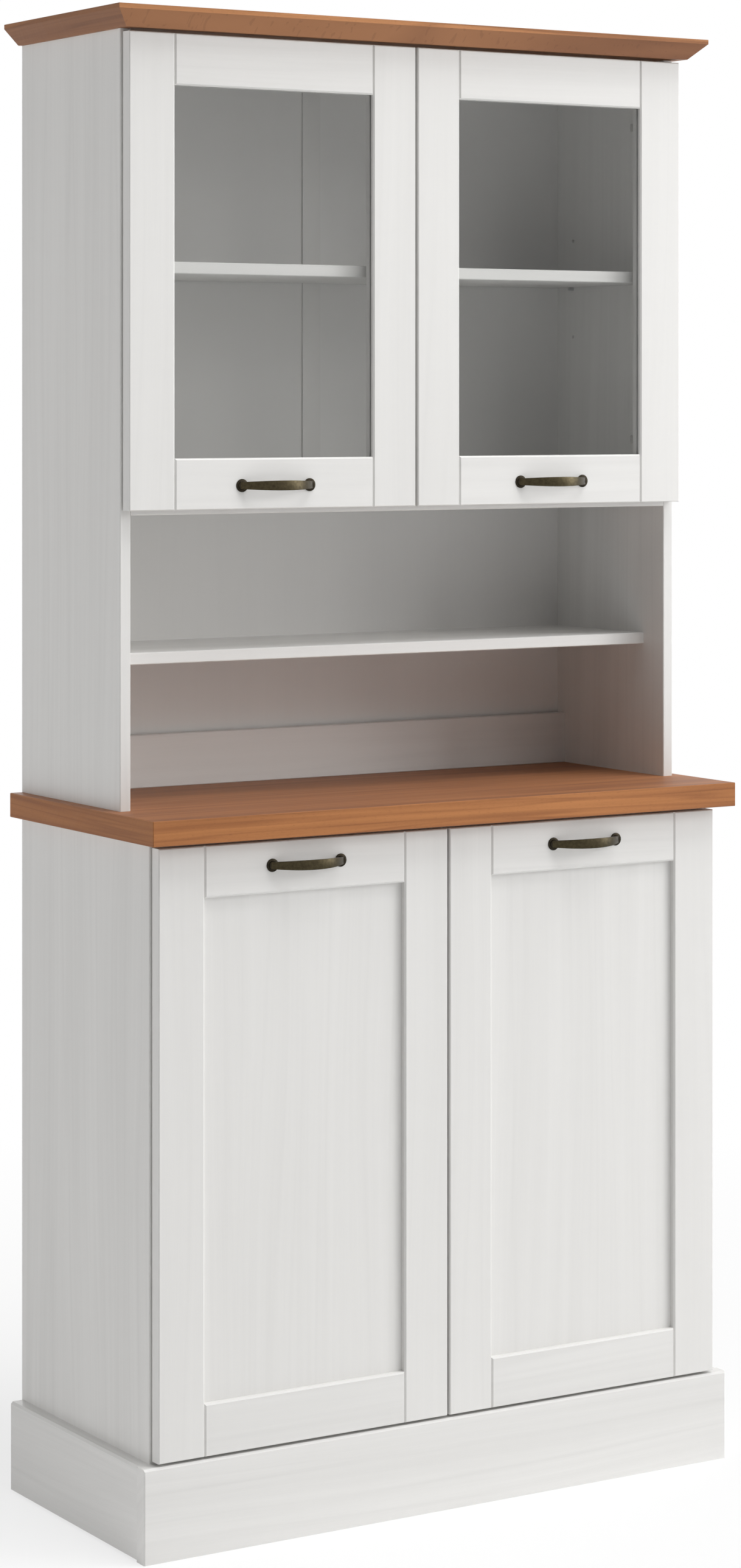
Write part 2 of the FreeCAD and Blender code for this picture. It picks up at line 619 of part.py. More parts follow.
def door_pieces(glazed):
    """Pieces of the left door of the upper or the lower pair, by short name."""
    recess, sheet_t, edge_in = PANEL_RECESS, PANEL_T, PANEL_EDGE_IN
    y_back, z0, height = Y_LOWER_DOOR_BACK, Z_LOWER_DOOR, LOWER_DOOR_H
    sheet_name = "panel"
    handle_z = height - HANDLE_EDGE_INSET
    if glazed:
        recess, sheet_t, edge_in = GLASS_RECESS, GLASS_T, GLASS_EDGE_IN
        y_back, z0, height = Y_UPPER_DOOR_BACK, Z_UPPER_DOOR, UPPER_DOOR_H
        sheet_name = "glass"
        handle_z = HANDLE_EDGE_INSET
    slot = sheet_t + FIT_CLEARANCE
    y_front = y_back - DOOR_T
    corner = Vector(-DOOR_EDGE_X, y_front, z0)
    middle_x = DOOR_W / 2
    pieces = {}
    pieces["stile_outer"] = stile(height, recess, slot, bores=True)
    inner = stile(height, recess, slot, bores=False).mirror(Vector(middle_x, 0, 0), X_AXIS)
    pieces["stile_inner"] = inner
    low_rail = rail(recess, slot)
    low_rail.translate(Vector(FRAME_W, 0, 0))
    pieces["rail_bottom"] = low_rail
    pieces["rail_top"] = low_rail.mirror(Vector(0, 0, height / 2), Z_AXIS)
    pieces[sheet_name] = block(FRAME_W - edge_in, DOOR_W - FRAME_W + edge_in, recess, recess + sheet_t,
                               FRAME_W - FRAME_GROOVE_DEPTH, height - FRAME_W + edge_in)
    grip = handle()
    grip.translate(Vector(middle_x, 0, handle_z))
    pieces["handle"] = grip
    for piece in pieces.values():
        piece.translate(corner)
    pieces["hinge_cups"] = Part.makeCompound(placed_hinges(hinge_cup, y_back, z0, height))
    pieces["hinge_links"] = Part.makeCompound(placed_hinges(hinge_link, y_back, z0, height))
    return pieces


def fixed_hinge_pieces(piece_maker):
    """Arms or plates of all four doors, which stay on the side boards."""
    left = placed_hinges(piece_maker, Y_UPPER_DOOR_BACK, Z_UPPER_DOOR, UPPER_DOOR_H)
    left += placed_hinges(piece_maker, Y_LOWER_DOOR_BACK, Z_LOWER_DOOR, LOWER_DOOR_H)
    return Part.makeCompound(left + [mirrored(piece) for piece in left])


def carcass_pieces():
    """Every piece of the standing cabinet, by node name."""
    outer = INNER_HALF + BACK_TONGUE
    web_left = STRIP_OFFSET - STRIP_WEB_T / 2
    web_right = STRIP_OFFSET + STRIP_WEB_T / 2
    z_split = Z_HUTCH_FLOOR + BOARD_T / 2
    y_rail = Y_BACK_FACE - BACK_RAIL_GAP - BOARD_T
    y_loose = Y_BACK_FACE - STRIP_FLANGE_T
    pieces = {
        "plinth_front": plinth_front(),
        "plinth_side_left": plinth_side(-1),
        "plinth_side_right": plinth_side(1),
        "plinth_rear_rail": plinth_rear_rail(),
        "floor_glides": floor_glides(),
        "base_side_left": side_board(-1, Y_BASE_FRONT, GLIDE_T, BASE_SIDE_LENGTH, Z_BASE_SHELF),
        "base_side_right": side_board(1, Y_BASE_FRONT, GLIDE_T, BASE_SIDE_LENGTH, Z_BASE_SHELF),
        "base_floor": cross_board(Y_BASE_FRONT, PLINTH_H),
        "base_shelf": cross_board(Y_BASE_FRONT + BASE_SHELF_SETBACK, Z_BASE_SHELF, y_loose,
                                  SHELF_END_CLEARANCE),
        "base_rail_front": cross_board(Y_BASE_FRONT, Z_WORKTOP_BOTTOM - BOARD_T,
                                       Y_BASE_FRONT + BASE_RAIL_W),
        "base_rail_rear": cross_board(Y_BACK_FACE - BASE_RAIL_W, Z_WORKTOP_BOTTOM - BOARD_T),
        "base_back_sheet": back_sheet(-outer, outer, PLINTH_H, Z_WORKTOP_BOTTOM),
        "worktop": worktop(),
        "hutch_side_left": side_board(-1, Y_HUTCH_FRONT, Z_WORKTOP_TOP, HUTCH_SIDE_LENGTH,
                                      Z_GLAZED_SHELF),
        "hutch_side_right": side_board(1, Y_HUTCH_FRONT, Z_WORKTOP_TOP, HUTCH_SIDE_LENGTH,
                                       Z_GLAZED_SHELF),
        "hutch_back_rail": cross_board(y_rail, Z_WORKTOP_TOP, y_rail + BOARD_T, height=BACK_RAIL_H),
        "open_shelf": cross_board(Y_HUTCH_FRONT + OPEN_SHELF_SETBACK, Z_OPEN_SHELF),
        "hutch_floor": cross_board(Y_HUTCH_FRONT, Z_HUTCH_FLOOR),
        "glazed_shelf": cross_board(Y_HUTCH_FRONT + GLAZED_SHELF_SETBACK, Z_GLAZED_SHELF, y_loose,
                                    SHELF_END_CLEARANCE),
        "hutch_back_sheet_lower": back_sheet(-outer, outer, Z_WORKTOP_TOP, z_split),
        "hutch_back_sheet_left": back_sheet(-outer, web_left, z_split, Z_CORNICE_BOTTOM),
        "hutch_back_sheet_right": back_sheet(web_right, outer, z_split, Z_CORNICE_BOTTOM),
        "back_joint_strip": back_joint_strip(),
        "cornice_board": cornice_board(),
        "shelf_pins": shelf_pins(),
        "door_bumpers": door_bumpers(),
        "hinge_arms": fixed_hinge_pieces(hinge_arm),
        "hinge_plates": fixed_hinge_pieces(hinge_plate),
    }
    return pieces


def all_pieces():
    """Every node of the cabinet."""
    pieces = carcass_pieces()
    for level, glazed in (("upper", True), ("lower", False)):
        for short_name, shape in door_pieces(glazed).items():
            pieces[level + "_left_" + short_name] = shape
            pieces[level + "_right_" + short_name] = mirrored(shape)
    return pieces


def main():
    """Write one STEP file for each node."""
    os.makedirs("parts", exist_ok=True)
    for name, shape in all_pieces().items():
        if not shape.isValid():
            print("not valid:", name)
        shape.exportStep(os.path.join("parts", name + ".step"))
        print(name, len(shape.Solids), "solids", round(shape.Volume), "mm3")


if __name__ == "__main__":
    main()
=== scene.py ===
"""Looks of the buffet cabinet with a glazed hutch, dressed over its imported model.

Lengths are in metres. X runs to the viewer's right, Y from the front to the back, Z up.
"""
from __future__ import annotations

import json
import logging
import math
from dataclasses import dataclass, field
from enum import Enum
from typing import Any, ClassVar, Iterable, Mapping, Sequence

import bmesh
import bpy
from mathutils import Matrix, Vector

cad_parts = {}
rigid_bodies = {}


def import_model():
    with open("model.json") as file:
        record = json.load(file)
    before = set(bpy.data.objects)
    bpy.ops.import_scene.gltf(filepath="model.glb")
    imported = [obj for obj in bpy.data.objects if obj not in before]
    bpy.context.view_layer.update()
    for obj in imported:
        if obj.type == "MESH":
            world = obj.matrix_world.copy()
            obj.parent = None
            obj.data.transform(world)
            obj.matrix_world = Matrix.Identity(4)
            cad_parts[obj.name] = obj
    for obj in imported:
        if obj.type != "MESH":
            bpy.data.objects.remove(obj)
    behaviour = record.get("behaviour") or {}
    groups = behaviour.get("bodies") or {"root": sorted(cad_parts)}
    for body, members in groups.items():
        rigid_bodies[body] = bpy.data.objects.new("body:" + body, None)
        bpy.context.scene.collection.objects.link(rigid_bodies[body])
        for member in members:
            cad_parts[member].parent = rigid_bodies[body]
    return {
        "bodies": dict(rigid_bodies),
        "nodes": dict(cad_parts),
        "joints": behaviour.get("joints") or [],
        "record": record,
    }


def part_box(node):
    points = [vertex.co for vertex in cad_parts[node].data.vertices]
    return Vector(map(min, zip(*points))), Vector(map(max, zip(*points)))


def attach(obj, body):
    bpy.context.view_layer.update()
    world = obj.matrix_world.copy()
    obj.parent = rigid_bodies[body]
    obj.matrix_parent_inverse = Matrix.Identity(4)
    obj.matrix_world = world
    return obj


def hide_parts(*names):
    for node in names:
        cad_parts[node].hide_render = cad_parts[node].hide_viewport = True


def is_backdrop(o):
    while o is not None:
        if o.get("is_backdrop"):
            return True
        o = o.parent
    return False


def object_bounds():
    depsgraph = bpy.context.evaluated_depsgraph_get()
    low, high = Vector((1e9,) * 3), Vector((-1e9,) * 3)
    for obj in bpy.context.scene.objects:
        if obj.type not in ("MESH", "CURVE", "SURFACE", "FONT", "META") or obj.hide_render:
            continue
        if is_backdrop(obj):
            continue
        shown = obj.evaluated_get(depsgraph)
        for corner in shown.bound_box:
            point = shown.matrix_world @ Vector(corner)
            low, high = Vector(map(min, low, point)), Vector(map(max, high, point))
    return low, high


log = logging.getLogger("buffet")

Colour = tuple[float, float, float]
Point = tuple[float, float, float]

MM = 0.001
WHITE = (1.0, 1.0, 1.0, 1.0)
SHARP_ANGLE = math.radians(32)
MERGE_DISTANCE = 0.02 * MM
CUT_TOLERANCE = 0.001 * MM
FIXED_BODY = "cabinet"
START_OBJECTS = ("Cube", "Light", "Camera")


class Grain(Enum):
    """Which way a board's grain runs, as the turn that lays the pattern's Z along it."""

    ACROSS = (0.0, math.pi / 2, 0.0)
    DEEP = (math.pi / 2, 0.0, 0.0)
    UPRIGHT = (0.0, 0.0, 0.0)


class Side(Enum):
    """Left or right half of the cabinet, with its direction along X."""

    LEFT = -1
    RIGHT = 1


class Tier(Enum):
    """Upper pair of doors with panes, or lower pair with panels."""

    UPPER = "upper"
    LOWER = "lower"


class Wire:
    """Output socket whose arithmetic adds Math nodes to its bench."""

    def __init__(self, bench: Bench, socket: bpy.types.NodeSocket) -> None:
        """Keeps the bench that made the node and the socket that carries the value."""
        self.bench = bench
        self.socket = socket

    def maths(self, operation: str, *others: Any, first: Any = None) -> Wire:
        """Adds one Math node on this value and others.

        Args:
            operation: Name of the Math node's operation.
            others: The inputs after the first, numbers or wires.
            first: A number that takes this value's place, which then comes second.

        Returns:
            The node's result.
        """
        values = (self, *others) if first is None else (first, self)
        inputs = dict(enumerate(values))
        return self.bench.node("ShaderNodeMath", {"operation": operation}, inputs)

    def __add__(self, other: Any) -> Wire:
        """Sum of the two."""
        return self.maths("ADD", other)

    def __radd__(self, other: Any) -> Wire:
        """Sum with a plain number on the left."""
        return self.maths("ADD", first=other)

    def __sub__(self, other: Any) -> Wire:
        """Difference of the two."""
        return self.maths("SUBTRACT", other)

    def __rsub__(self, other: Any) -> Wire:
        """Difference from a plain number on the left."""
        return self.maths("SUBTRACT", first=other)

    def __mul__(self, other: Any) -> Wire:
        """Product of the two."""
        return self.maths("MULTIPLY", other)

    def __rmul__(self, other: Any) -> Wire:
        """Product with a plain number on the left."""
        return self.maths("MULTIPLY", first=other)

    def __pow__(self, other: Any) -> Wire:
        """Power of the two."""
        return self.maths("POWER", other)

    def __gt__(self, other: Any) -> Wire:
        """One where this is the greater, else zero."""
        return self.maths("GREATER_THAN", other)


class Bench:
    """Node tree on which one finish or one light is made."""

    def __init__(self, tree: bpy.types.NodeTree) -> None:
        """Clears the tree of the nodes it came with."""
        self.tree = tree
        tree.nodes.clear()

    def node(
        self,
        kind: str,
        settings: Mapping[str, Any] | None = None,
        inputs: Mapping[str | int, Any] | None = None,
        out: str | int = 0,
    ) -> Wire:
        """Adds one node, sets it and feeds it.

        Args:
            kind: Type name of the node.
            settings: Properties by name, set first; "stops" fills a colour ramp.
            inputs: Values or wires by the name or number of the input.
            out: Name or number of the output that is wanted.

        Returns:
            That output.
        """
        made = self.tree.nodes.new(kind)
        for name, value in (settings or {}).items():
            if name == "stops":
                self._set_stops(made.color_ramp, value)
            else:
                setattr(made, name, value)
        for name, value in (inputs or {}).items():
            if isinstance(value, Wire):
                self.tree.links.new(value.socket, made.inputs[name])
            else:
                made.inputs[name].default_value = value
        return Wire(self, made.outputs[out])

    @staticmethod
    def _set_stops(ramp: bpy.types.ColorRamp, stops: Sequence[tuple[float, float]]) -> None:
        """Sets the stops of a colour ramp.

        Args:
            ramp: The ramp, which has at least one stop.
            stops: Place and grey level of each stop.
        """
        while len(ramp.elements) < len(stops):
            ramp.elements.new(1.0)
        for element, (place, level) in zip(ramp.elements, stops):
            element.position = place
            element.color = (level, level, level, 1.0)

    def end(self, shader: Wire, kind: str = "ShaderNodeOutputMaterial") -> None:
        """Joins a shader to the tree's output node."""
        output = self.tree.nodes.new(kind)
        self.tree.links.new(shader.socket, output.inputs["Surface"])

    def coat(self, inputs: Mapping[str, Any]) -> None:
        """Ends the tree with one plain surface shader, fed by the name of the input."""
        self.end(self.node("ShaderNodeBsdfPrincipled", {}, inputs))

    def place(self) -> Wire:
        """Place on the object, in the object's own coordinates."""
        return self.node("ShaderNodeTexCoord", out="Object")

    def axis(self, vector: Wire, name: str) -> Wire:
        """The part of a vector along the axis of this name."""
        return self.node("ShaderNodeSeparateXYZ", {}, {"Vector": vector}, out=name)

    def mixed(self, share: Any, first: Any, second: Any) -> Wire:
        """Colour between two colours.

        Args:
            share: Share of the second colour.
            first: Colour at a share of zero.
            second: Colour at a share of one.

        Returns:
            The mixed colour.
        """
        ends = [value if isinstance(value, Wire) else (*value, 1.0) for value in (first, second)]
        return self.node(
            "ShaderNodeMix",
            {"data_type": "RGBA"},
            {"Factor": share, "A": ends[0], "B": ends[1]},
            out=2,
        )

    def noise(self, place: Wire, scale: float, detail: float = 2.0, rough: float = 0.5) -> Wire:
        """Value noise on a place, from 0 to 1.

        Args:
            place: Vector that the noise is read at.
            scale: Cells in a metre of that vector.
            detail: Octaves of finer noise.
            rough: Strength of each finer octave.

        Returns:
            The noise's value.
        """
        inputs = {"Vector": place, "Scale": scale, "Detail": detail, "Roughness": rough}
        return self.node("ShaderNodeTexNoise", {"noise_dimensions": "3D"}, inputs, out="Fac")

    def stretched(self, place: Wire, scale: Point) -> Wire:
        """The place after a scale along each axis."""
        inputs = {"Vector": place, "Scale": scale}
        return self.node("ShaderNodeMapping", {"vector_type": "POINT"}, inputs)

    def bump(self, height: Wire, depth: float) -> Wire:
        """Normal of a surface whose relief is a height of 0 to 1 times a depth in metres."""
        return self.node("ShaderNodeBump", {}, {"Height": height, "Distance": depth}, out="Normal")


def blank(name: str) -> tuple[bpy.types.Material, Bench]:
    """Starts a finish.

    Args:
        name: Name of the finish.

    Returns:
        New node material and its bench.
    """
    material = bpy.data.materials.new(name)
    material.use_nodes = True
    return material, Bench(material.node_tree)


class Timber:
    """Grain in a board, read in the board's own coordinates and bent as the tree grew."""

    SWAYS: ClassVar[float] = 6.5
    SWAY_STRETCH: ClassVar[float] = 0.13
    STREAK_ROUGHNESS: ClassVar[float] = 0.55
    FADE_WIDTH: ClassVar[float] = 2.5
    FADE_LENGTH: ClassVar[float] = 0.4

    def __init__(self, bench: Bench, grain: Grain, pith: Point, wander: float) -> None:
        """Lays the pattern along the grain.

        Args:
            bench: Bench of the finish.
            grain: Direction of the grain.
            pith: Shift of the tree's heart from the cabinet's middle, before the turn.
            wander: How far the grain strays from straight, in metres.
        """
        self.bench = bench
        turn = {"Vector": bench.place(), "Rotation": grain.value, "Location": pith}
        place = bench.node("ShaderNodeMapping", {"vector_type": "POINT"}, turn)
        sway = bench.noise(
            bench.stretched(place, (1.0, 1.0, self.SWAY_STRETCH)), self.SWAYS, 1.5, 0.45
        )
        across = bench.axis(place, "X") + bench.axis(place, "Y") + wander * sway
        inputs = {"X": across, "Z": bench.axis(place, "Z")}
        self.flow = bench.node("ShaderNodeCombineXYZ", {}, inputs)

    def streaks(self, width: float, length: float, detail: float = 2.0) -> Wire:
        """Soft streaks of about this width and length in metres, along the grain."""
        place = self.bench.stretched(self.flow, (1.0, 1.0, width / length))
        return self.bench.noise(place, 1 / width, detail, self.STREAK_ROUGHNESS)

    def veins(self, width: float, length: float, sharpness: float) -> Wire:
        """Thin lines that wander between streaks of this width.

        Args:
            width: Width of the streaks that the lines part.
            length: Length of the streaks.
            sharpness: How thin the lines are.

        Returns:
            One on a line, falling to zero beside it, and fainter in some stretches.
        """
        parted = (self.streaks(width, length, 1.0) - 0.5).maths("ABSOLUTE")
        line = (1 - sharpness * parted).maths("MAXIMUM", 0.0)
        return line * self.streaks(self.FADE_WIDTH * width, self.FADE_LENGTH * length, 1.0)


@dataclass(frozen=True)
class PaintedWood:
    """Thin pale paint that the wood's figure shows through faintly."""

    MIDDLE_OF_DRAWN: ClassVar[float] = 1.47
    MIDDLE_SHADE: ClassVar[float] = 0.42

    name: str
    grain: Grain
    pith: Point = (0.31, 0.07, 0.0)
    pale: Colour = (0.790, 0.782, 0.765)
    deep: Colour = (0.670, 0.662, 0.646)
    figure: float = 1.0
    wander: float = 75 * MM
    roughness: float = 0.36
    spread: float = 0.12
    specular: float = 0.32
    relief: float = 0.06 * MM
    slot: str = "painted_board"

    def make(self) -> bpy.types.Material:
        """Makes the finish.

        Returns:
            Its material.
        """
        material, bench = blank(self.name)
        wood = Timber(bench, self.grain, self.pith, self.wander)
        bands = wood.streaks(0.05, 1.1)
        lines = wood.streaks(0.008, 0.7, 3.0)
        veins = wood.veins(0.035, 1.3, 16.0)
        fibres = wood.streaks(0.0013, 0.07)
        drawn = 1.5 * bands + 0.9 * lines + 0.5 * veins + 0.35 * fibres
        shade = self.figure * (drawn - self.MIDDLE_OF_DRAWN) + self.MIDDLE_SHADE
        inputs = {
            "Base Color": bench.mixed(shade, self.pale, self.deep),
            "Roughness": self.roughness + self.spread * fibres,
            "Normal": bench.bump(0.6 * fibres + 0.4 * lines, self.relief),
            "Specular IOR Level": self.specular,
        }
        bench.coat(inputs)
        return material


@dataclass(frozen=True)
class CherryVeneer:
    """Cherry-coloured veneer under dull varnish, with short dark flecks.

    The top leaf is mixed toward a greyer, darker colour as a painted sheen and painted shade.
    Faces turned down, the bevels among them, get painted shade toward the same colour. The two end
    edges are darker, and the underside has pale paint where it closes the carcass. LEVEL and
    LEANING are the least parts of a face's normal along an axis for the face to count as turned that
    way.
    """

    LEVEL: ClassVar[float] = 0.9
    LEANING: ClassVar[float] = 0.4
    PORES_SHOWN_ABOVE: ClassVar[float] = 0.64

    name: str
    pale: Colour = (0.455, 0.184, 0.060)
    deep: Colour = (0.240, 0.086, 0.028)
    fleck: Colour = (0.14, 0.055, 0.024)
    # Greyer, darker colour of the painted sheen and painted shade on the top and on faces turned down.
    sheen_and_shade: Colour = (0.175, 0.092, 0.070)
    underside: Colour = (0.755, 0.750, 0.738)
    # Share of painted sheen and painted shade on faces turned up.
    top_sheen_and_shade: float = 0.36
    end_shade: float = 0.24
    # Share of painted shade on faces turned down, such as the bevels.
    bevel_painted_shade: float = 0.34
    fleck_strength: float = 0.22
    carcass_half: float = 438 * MM
    carcass_front: float = -163 * MM
    pith: Point = (0.05, 0.42, 0.11)
    wander: float = 50 * MM
    roughness: float = 0.46
    spread: float = 0.14
    specular: float = 0.24
    relief: float = 0.05 * MM
    slot: str = "cherry"

    def _figure(self, bench: Bench, grain: Grain) -> tuple[Wire, Wire]:
        """Draws the veneer.

        Args:
            bench: Bench of the finish.
            grain: Direction of the grain.

        Returns:
            Colour and relief.
        """
        wood = Timber(bench, grain, self.pith, self.wander)
        bands = wood.streaks(0.022, 0.8, 2.0)
        lines = wood.streaks(0.0045, 0.35, 3.0)
        veins = wood.veins(0.012, 0.5, 14.0)
        pores = wood.streaks(0.0008, 0.008, 1.0)
        shade = 1.9 * bands + 0.9 * lines + 0.7 * veins - 1.05
        flecks = self.fleck_strength * (pores > self.PORES_SHOWN_ABOVE)
        body = bench.mixed(shade, self.pale, self.deep)
        return bench.mixed(flecks, body, self.fleck), lines

    def _ceiling(self, bench: Bench, downward: Wire) -> Wire:
        """Finds the pale underside that closes the carcass.

        Args:
            bench: Bench of the finish.
            downward: How far the face is turned down.

        Returns:
            One on that face, else zero.
        """
        place = bench.place()
        between = (self.carcass_half - bench.axis(place, "X").maths("ABSOLUTE")) > 0.0
        return (downward > self.LEVEL) * between * (bench.axis(place, "Y") > self.carcass_front)

    def make(self) -> bpy.types.Material:
        """Makes the finish, with the grain of the two end edges running from front to back.

        Returns:
            Its material.
        """
        material, bench = blank(self.name)
        normal = bench.node("ShaderNodeTexCoord", out="Normal")
        sideways = bench.axis(normal, "X")
        upward = bench.axis(normal, "Z")
        downward = 0.0 - upward
        on_end = sideways * sideways > self.LEANING
        along, lines = self._figure(bench, Grain.ACROSS)
        ends, _ = self._figure(bench, Grain.DEEP)
        figure = bench.mixed(on_end, along, ends)
        # Painted sheen and painted shade: faces turned up are mixed toward the greyer, darker colour.
        leaf = self.top_sheen_and_shade * (upward > self.LEVEL)
        # Painted shade: faces turned down are mixed toward the same greyer, darker colour.
        bevels = self.bevel_painted_shade * (downward > self.LEANING)
        # Painted sheen and shade on the top, and painted shade on faces turned down.
        sheened_and_shaded = bench.mixed(leaf + bevels, figure, self.sheen_and_shade)
        varnished = bench.mixed(self.end_shade * on_end, sheened_and_shaded, self.fleck)
        inputs = {
            "Base Color": bench.mixed(self._ceiling(bench, downward), varnished, self.underside),
            "Roughness": self.roughness + self.spread * lines,
            "Normal": bench.bump(lines, self.relief),
            "Specular IOR Level": self.specular,
        }
        bench.coat(inputs)
        return material


@dataclass(frozen=True)
class ClearGlass:
    """Thin clear pane that lets lamplight through and mirrors at a glancing angle."""

    name: str
    tint: Colour = (0.955, 0.957, 0.955)
    least_mirror: float = 0.012
    mirror_power: float = 5.0
    ripples: float = 3.0
    roughness: float = 0.01
    spread: float = 0.02
    slot: str = "glass"

    def make(self) -> bpy.types.Material:
        """Makes the finish.

        Returns:
            Its material.
        """
        material, bench = blank(self.name)
        ripple = bench.noise(bench.place(), self.ripples, 1.0)
        facing_away = bench.node("ShaderNodeLayerWeight", {}, {"Blend": 0.5}, out="Facing")
        glancing = self.least_mirror + (1 - self.least_mirror) * facing_away ** self.mirror_power
        through = bench.node("ShaderNodeBsdfTransparent", {}, {"Color": (*self.tint, 1.0)})
        gloss = {"Color": WHITE, "Roughness": self.roughness + self.spread * ripple}
        mirror = bench.node("ShaderNodeBsdfGlossy", {}, gloss)
        inputs = {0: glancing, 1: through, 2: mirror}
        bench.end(bench.node("ShaderNodeMixShader", {}, inputs))
        return material


@dataclass(frozen=True)
class Metal:
    """Metal with a faint mottle in its colour and gloss."""

    name: str
    slot: str
    pale: Colour
    deep: Colour
    roughness: float
    spread: float
    metallic: float = 1.0
    mottle: float = 4 * MM
    grit: float = 0.625 * MM
    relief: float = 0.01 * MM

    def make(self) -> bpy.types.Material:
        """Makes the finish.

        Returns:
            Its material.
        """
        material, bench = blank(self.name)
        place = bench.place()
        patches = bench.noise(place, 1 / self.mottle, 3.0, 0.6)
        grit = bench.noise(place, 1 / self.grit)
        # The noise keeps near its middle, so its contrast is raised about 0.5.
        inputs = {
            "Base Color": bench.mixed(1.4 * patches - 0.2, self.pale, self.deep),
            "Roughness": self.roughness + self.spread * patches,
            "Metallic": self.metallic,
            "Normal": bench.bump(grit, self.relief),
        }
        bench.coat(inputs)
        return material


@dataclass(frozen=True)
class Plastic:
    """Moulded plastic with a fine surface grain."""

    name: str
    slot: str
    colour: Colour
    roughness: float
    transmission: float = 0.0
    spread: float = 0.1
    darkest: float = 0.93
    grains: float = 900.0
    relief: float = 0.02 * MM

    def make(self) -> bpy.types.Material:
        """Makes the finish.

        Returns:
            Its material.
        """
        material, bench = blank(self.name)
        texture = bench.noise(bench.place(), self.grains)
        darker = tuple(self.darkest * level for level in self.colour)
        inputs = {
            "Base Color": bench.mixed(texture, self.colour, darker),
            "Roughness": self.roughness + self.spread * texture,
            "Transmission Weight": self.transmission,
            "Normal": bench.bump(texture, self.relief),
        }
        bench.coat(inputs)
        return material


Finish = PaintedWood | CherryVeneer | ClearGlass | Metal | Plastic

UPRIGHT_PAINT = PaintedWood("paint_upright", Grain.UPRIGHT, figure=0.54)
STILE_PAINT = PaintedWood("paint_stile", Grain.UPRIGHT, (0.18, 0.31, 0.4), figure=0.29)
PANEL_PAINT = PaintedWood("paint_panel", Grain.UPRIGHT, (0.24, 0.20, 0.9), figure=0.37)
CROSS_PAINT = PaintedWood("paint_across", Grain.ACROSS, (0.02, 0.06, 0.3), figure=0.47)
PLINTH_PAINT = PaintedWood("paint_plinth", Grain.ACROSS, (0.33, 0.16, 0.7), figure=0.62)
DEEP_PAINT = PaintedWood("paint_deep", Grain.DEEP, (0.46, 0.04, 0.1), figure=0.7)
SHEET_PAINT = PaintedWood(
    "paint_back_sheet", Grain.UPRIGHT, (0.12, 0.11, 0.2), figure=0.12, slot="back_board"
)
WORKTOP_CHERRY = CherryVeneer("cherry_worktop")
CORNICE_CHERRY = CherryVeneer(
    "cherry_cornice",
    pale=(0.485, 0.215, 0.084),
    deep=(0.235, 0.092, 0.033),
    end_shade=0.42,
    carcass_front=-52 * MM,
)
GLASS = ClearGlass("clear_glass")
BRONZE = Metal(
    "antique_bronze", "bronze", (0.073, 0.060, 0.033), (0.024, 0.018, 0.010), 0.27, 0.14, 0.95
)
DARK_BRONZE = Metal(
    "darkened_bronze", "bronze", (0.036, 0.029, 0.019), (0.012, 0.010, 0.007), 0.32, 0.16, 0.95
)
NICKEL = Metal(
    "nickel_plate", "nickelled_steel", (0.66, 0.65, 0.63), (0.60, 0.59, 0.57), 0.20, 0.10
)
ZINC = Metal("zinc_plate", "steel", (0.60, 0.61, 0.62), (0.48, 0.49, 0.50), 0.30, 0.15)
GLIDE_PLASTIC = Plastic("glide_plastic", "glide_plastic", (0.70, 0.69, 0.65), 0.55)
BUMPER_PLASTIC = Plastic("bumper_plastic", "bumper_plastic", (0.85, 0.88, 0.87), 0.12, 0.8)
STRIP_PLASTIC = Plastic("strip_plastic", "strip_plastic", (0.72, 0.71, 0.69), 0.35)
CAP_PLASTIC = Plastic("cap_plastic", "strip_plastic", (0.76, 0.755, 0.74), 0.38)


def mesh_of(name: str, shape: bmesh.types.BMesh) -> bpy.types.Mesh:
    """Turns a bmesh into a mesh.

    Args:
        name: Name of the mesh.
        shape: The bmesh, which is freed.

    Returns:
        The mesh.
    """
    data = bpy.data.meshes.new(name)
    shape.to_mesh(data)
    shape.free()
    return data


def put(name: str, data: bpy.types.ID) -> bpy.types.Object:
    """Puts a new object in the scene.

    Args:
        name: Name of the object.
        data: Its mesh, light or camera.

    Returns:
        The object.
    """
    made = bpy.data.objects.new(name, data)
    bpy.context.scene.collection.objects.link(made)
    return made


class Workshop:
    """The loaded frame, and the way each piece is dressed and handed over."""

    def __init__(self) -> None:
        """Loads the frame and keeps the size of its box."""
        self.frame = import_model()
        self.cad_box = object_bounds()
        self.made: dict[str, bpy.types.Material] = {}

    def material(self, finish: Finish) -> bpy.types.Material:
        """Makes a finish's material at its first use.

        Args:
            finish: The finish.

        Returns:
            Its material.
        """
        if finish.name not in self.made:
            self.made[finish.name] = finish.make()
        return self.made[finish.name]

    def dress(self, finish: Finish, *nodes: str) -> None:
        """Gives CAD nodes a finish.

        Args:
            finish: The finish to give.
            nodes: Names of the nodes.
        """
        for name in nodes:
            for place in self.frame["nodes"][name].material_slots:
                place.material = self.material(finish)
            log.info("dressed %s in %s", name, finish.name)

    def piece(self, name: str, mesh: bmesh.types.BMesh, finish: Finish, body: str) -> bpy.types.Object:
        """Turns a finished bmesh into a piece that rides on a body.

        Args:
            name: Name of the piece.
            mesh: Its bmesh, which is freed.
            finish: Its finish.
            body: CAD body that carries it.

        Returns:
            The new object.
        """
        bmesh.ops.recalc_face_normals(mesh, faces=mesh.faces)
        data = mesh_of(name, mesh)
        data.shade_smooth()
        data.set_sharp_from_angle(angle=SHARP_ANGLE)
        data.materials.append(self.material(finish))
        made = put(name, data)
        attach(made, body)
        log.info("built %s: %d faces on %s", name, len(data.polygons), body)
        return made


